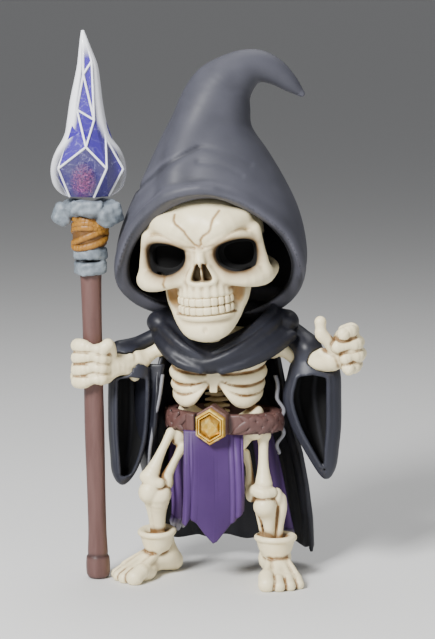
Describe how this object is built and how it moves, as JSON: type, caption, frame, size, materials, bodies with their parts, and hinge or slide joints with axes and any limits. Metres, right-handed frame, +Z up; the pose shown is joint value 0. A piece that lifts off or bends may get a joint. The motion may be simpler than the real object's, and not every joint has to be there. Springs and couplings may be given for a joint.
{
  "type": "hooded skeleton figurine",
  "caption": "Moulded toy figure of a standing hooded skeleton holding a tall crystal-headed staff, one thumb raised.",
  "frame": {"origin": "on the ground, under the middle of the figure's bounding box", "axes": "+Z up, the figure faces -Y, its right hand and the staff are on -X"},
  "size_m": [0.092, 0.0456, 0.1638],
  "materials": {
    "bone": "moulded vinyl painted bone cream with a brown wash",
    "robe": "near-black blue-grey vinyl with a satin coat",
    "purple_cloth": "violet paint with lilac dry-brushing on the folds",
    "belt_leather": "mauve-brown paint",
    "gold_paint": "metallic gold paint on vinyl",
    "staff_wood": "brown-mauve paint with a faint grain",
    "stone": "blue-grey paint",
    "ochre_wrap": "ochre paint with a dark wash between the straps",
    "crystal": "clear milky vinyl tinted violet"
  },
  "bodies": {
    "root": {"skull": "bone", "hood": "robe", "cowl": "robe", "torso": "bone", "arm_right": "bone", "arm_left": "bone", "sleeve_right": "robe", "sleeve_left": "robe", "cape": "robe", "leg_right": "bone", "leg_left": "bone", "belt": "belt_leather", "buckle": "gold_paint", "loincloth": "purple_cloth", "hip_cloth_right": "purple_cloth", "hip_cloth_left": "purple_cloth", "staff_shaft": "staff_wood", "staff_ferrule": "stone", "staff_wrap": "ochre_wrap", "staff_setting": "stone", "staff_crystal": "crystal"}
  },
  "joints": []
}
